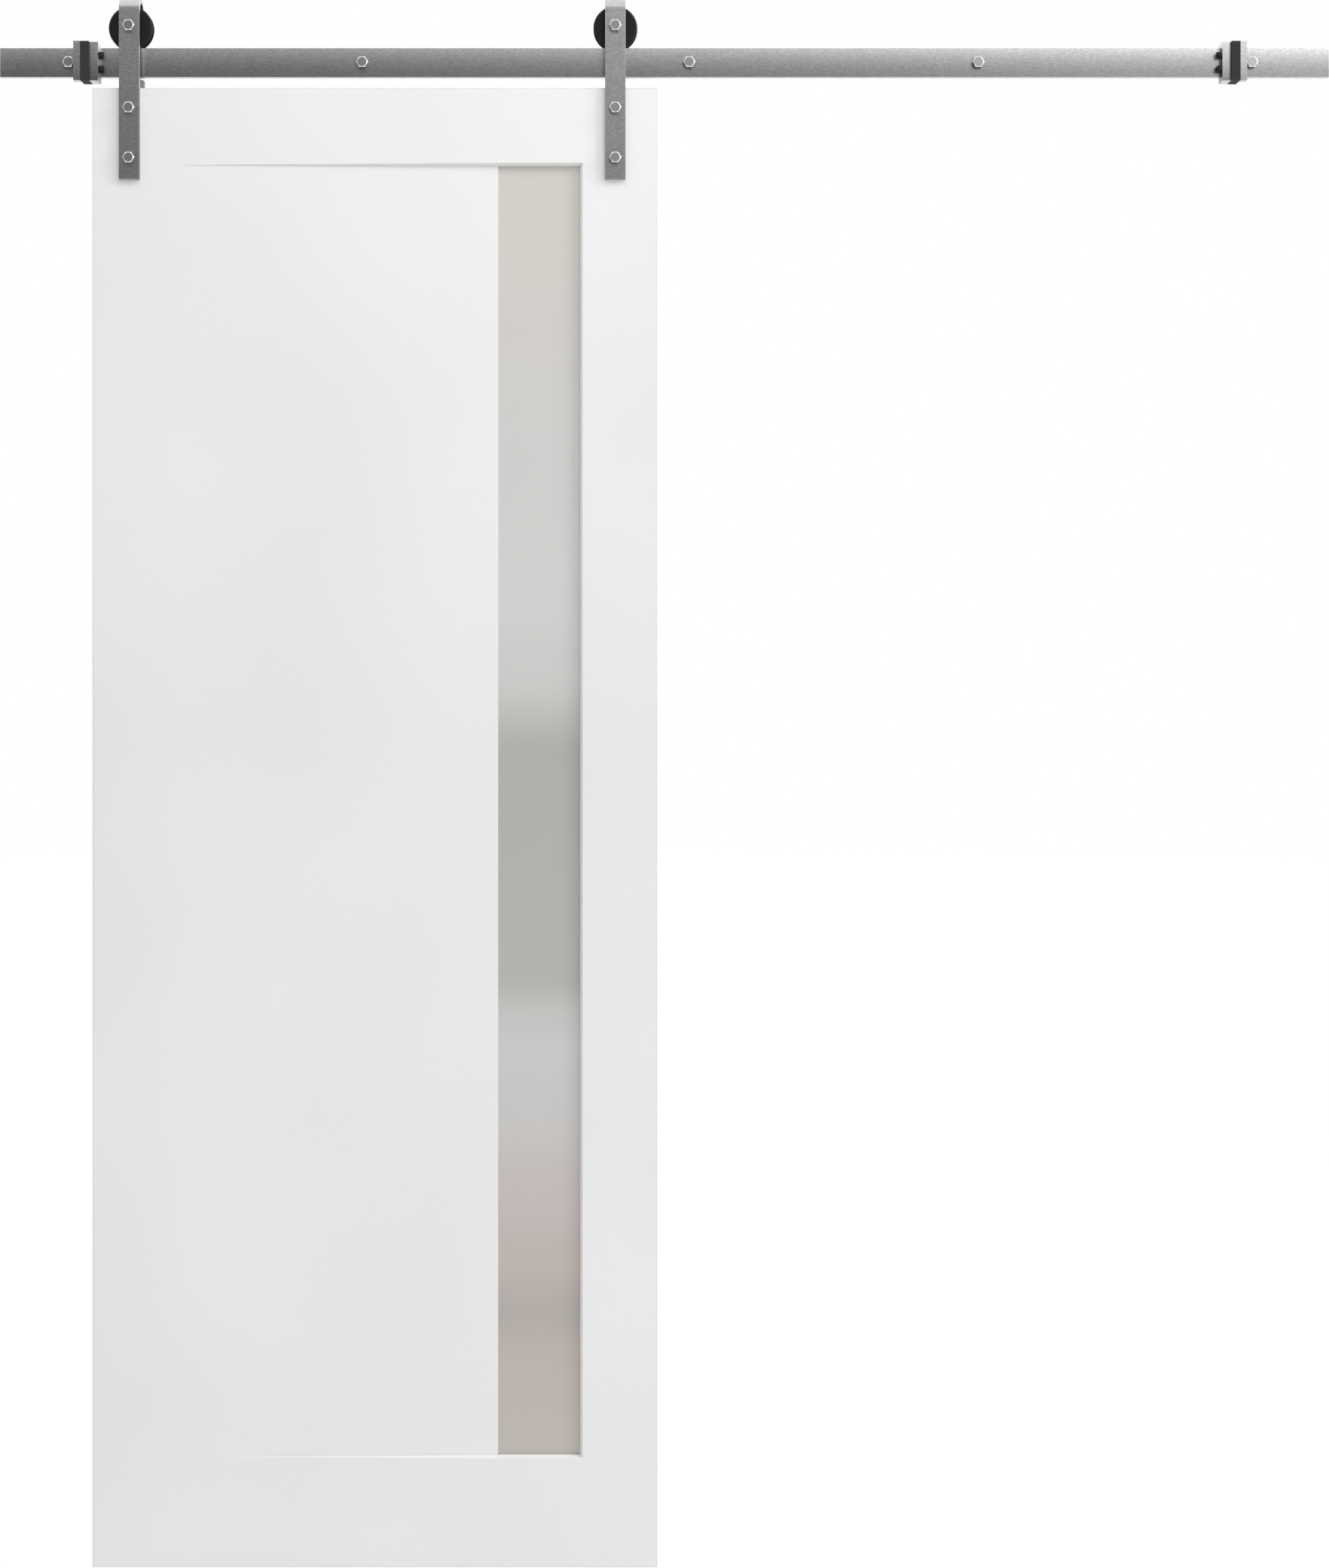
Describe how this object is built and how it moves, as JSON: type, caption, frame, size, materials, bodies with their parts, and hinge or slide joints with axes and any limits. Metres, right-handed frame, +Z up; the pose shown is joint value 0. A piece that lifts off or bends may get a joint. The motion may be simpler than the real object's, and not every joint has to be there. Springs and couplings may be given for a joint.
{
  "type": "sliding barn door with rail and hangers",
  "caption": "White panel door with a narrow glass light, hung by hook-strap hangers with grooved wheels from a flat steel rail on stand-offs, between clamped end stops.",
  "frame": {"origin": "where the centreline of the rail meets the face of the wall, half way along the rail", "axes": "+X to the right along the rail, +Y into the wall, +Z up"},
  "size_m": [1.8288, 0.0946, 2.1564],
  "materials": {
    "brushed_steel": "brushed stainless steel, horizontal grain",
    "bolt_steel": "satin stainless fasteners",
    "bearing_steel": "ground bearing steel",
    "black_screw": "black oxide, satin",
    "black_nylon": "moulded and turned black nylon",
    "black_rubber": "matt black rubber",
    "white_lacquer": "sprayed white lacquer over wood, satin",
    "frosted_glass": "acid-etched frosted glass"
  },
  "bodies": {
    "track": {"rail": "brushed_steel", "stand_off_1": "brushed_steel", "stand_off_2": "brushed_steel", "stand_off_3": "brushed_steel", "stand_off_4": "brushed_steel", "stand_off_5": "brushed_steel", "lag_screw_1": "bolt_steel", "lag_screw_2": "bolt_steel", "lag_screw_3": "bolt_steel", "lag_screw_4": "bolt_steel", "lag_screw_5": "bolt_steel", "stop_plate_left": "brushed_steel", "stop_rubber_left": "black_rubber", "stop_block_left": "brushed_steel", "stop_screw_left_1": "black_screw", "stop_screw_left_2": "black_screw", "stop_plate_right": "brushed_steel", "stop_rubber_right": "black_rubber", "stop_block_right": "brushed_steel", "stop_screw_right_1": "black_screw", "stop_screw_right_2": "black_screw"},
    "door": {"door_stile_left": "white_lacquer", "door_stile_right": "white_lacquer", "door_top_rail": "white_lacquer", "door_bottom_rail": "white_lacquer", "door_wedge_panel": "white_lacquer", "door_glass": "frosted_glass", "glazing_bead_front": "white_lacquer", "glazing_bead_back": "white_lacquer", "strap_left": "brushed_steel", "door_bolt_left_1": "bolt_steel", "door_bolt_left_2": "bolt_steel", "sleeve_nut_left_1": "bolt_steel", "sleeve_nut_left_2": "bolt_steel", "axle_bolt_left": "bolt_steel", "axle_nut_left": "bolt_steel", "axle_bush_front_left": "bolt_steel", "axle_bush_back_left": "bolt_steel", "bearing_inner_race_left": "bearing_steel", "anti_jump_disc_left": "bolt_steel", "anti_jump_screw_left": "bolt_steel", "strap_right": "brushed_steel", "door_bolt_right_1": "bolt_steel", "door_bolt_right_2": "bolt_steel", "sleeve_nut_right_1": "bolt_steel", "sleeve_nut_right_2": "bolt_steel", "axle_bolt_right": "bolt_steel", "axle_nut_right": "bolt_steel", "axle_bush_front_right": "bolt_steel", "axle_bush_back_right": "bolt_steel", "bearing_inner_race_right": "bearing_steel", "anti_jump_disc_right": "bolt_steel", "anti_jump_screw_right": "bolt_steel"},
    "wheel_left": {"wheel_left": "black_nylon", "bearing_outer_race_left": "bearing_steel", "bearing_ball_ring_left": "bearing_steel"},
    "wheel_right": {"wheel_right": "black_nylon", "bearing_outer_race_right": "bearing_steel", "bearing_ball_ring_right": "bearing_steel"}
  },
  "joints": [
    {"name": "door_slide", "type": "slide", "parent": "track", "child": "door", "axis": [1, 0, 0], "range_m": [-0.0195, 0.809]},
    {"name": "wheel_spin_left", "type": "hinge", "parent": "door", "child": "wheel_left", "pos_m": [-0.7341, -0.034, 0.0472], "axis": [0, 1, 0], "continuous": true},
    {"name": "wheel_spin_right", "type": "hinge", "parent": "door", "child": "wheel_right", "pos_m": [-0.0676, -0.034, 0.0472], "axis": [0, 1, 0], "continuous": true}
  ],
  "couplings": [
    {"joint": "wheel_spin_left", "follows": "door_slide", "rad_per_m": 37.037},
    {"joint": "wheel_spin_right", "follows": "door_slide", "rad_per_m": 37.037}
  ]
}
